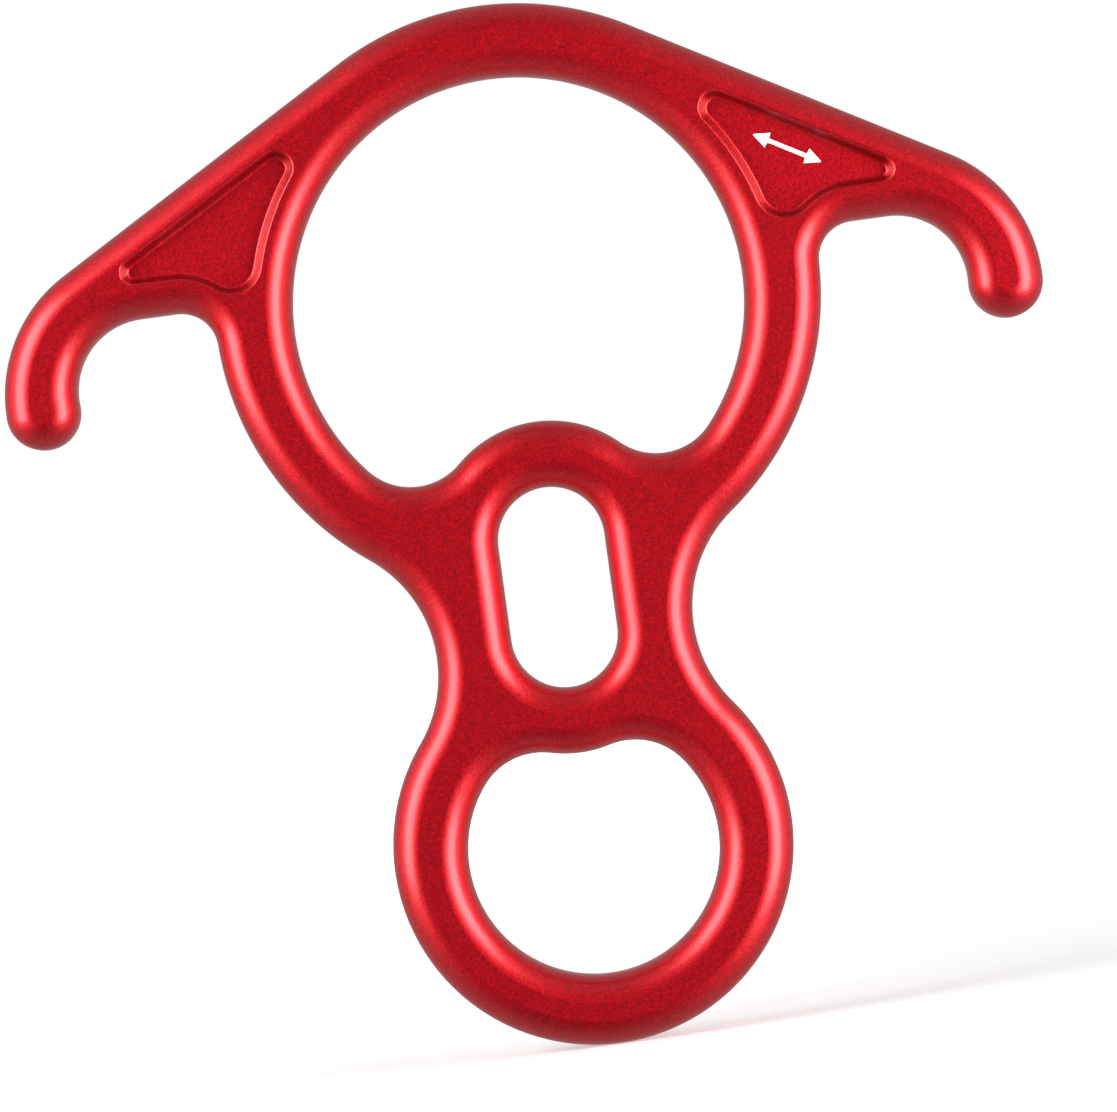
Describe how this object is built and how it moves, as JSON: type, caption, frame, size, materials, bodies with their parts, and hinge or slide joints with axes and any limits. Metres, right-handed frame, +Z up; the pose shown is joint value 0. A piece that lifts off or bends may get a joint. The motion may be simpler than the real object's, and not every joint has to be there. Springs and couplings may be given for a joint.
{
  "type": "rope descender",
  "caption": "Flat forged rescue figure-eight rope descender: a large rope eye and a small carabiner eye joined by a slotted bridge, with hooked ears that stop the rope slipping over.",
  "frame": {"origin": "centre of the bounding box, on the plate's mid plane, between the slot and the big eye", "axes": "+Z up from the small carabiner eye to the big eye; +Y through the plate's thickness, away from the marked front face, which looks along -Y; +X to the right seen from the front"},
  "size_m": [0.1702, 0.013, 0.1704],
  "materials": {
    "anodised_body": "satin red anodised over a fine blasted surface",
    "white_mark": "flat white pad print"
  },
  "bodies": {
    "root": {"descender_body": "anodised_body"}
  },
  "joints": []
}
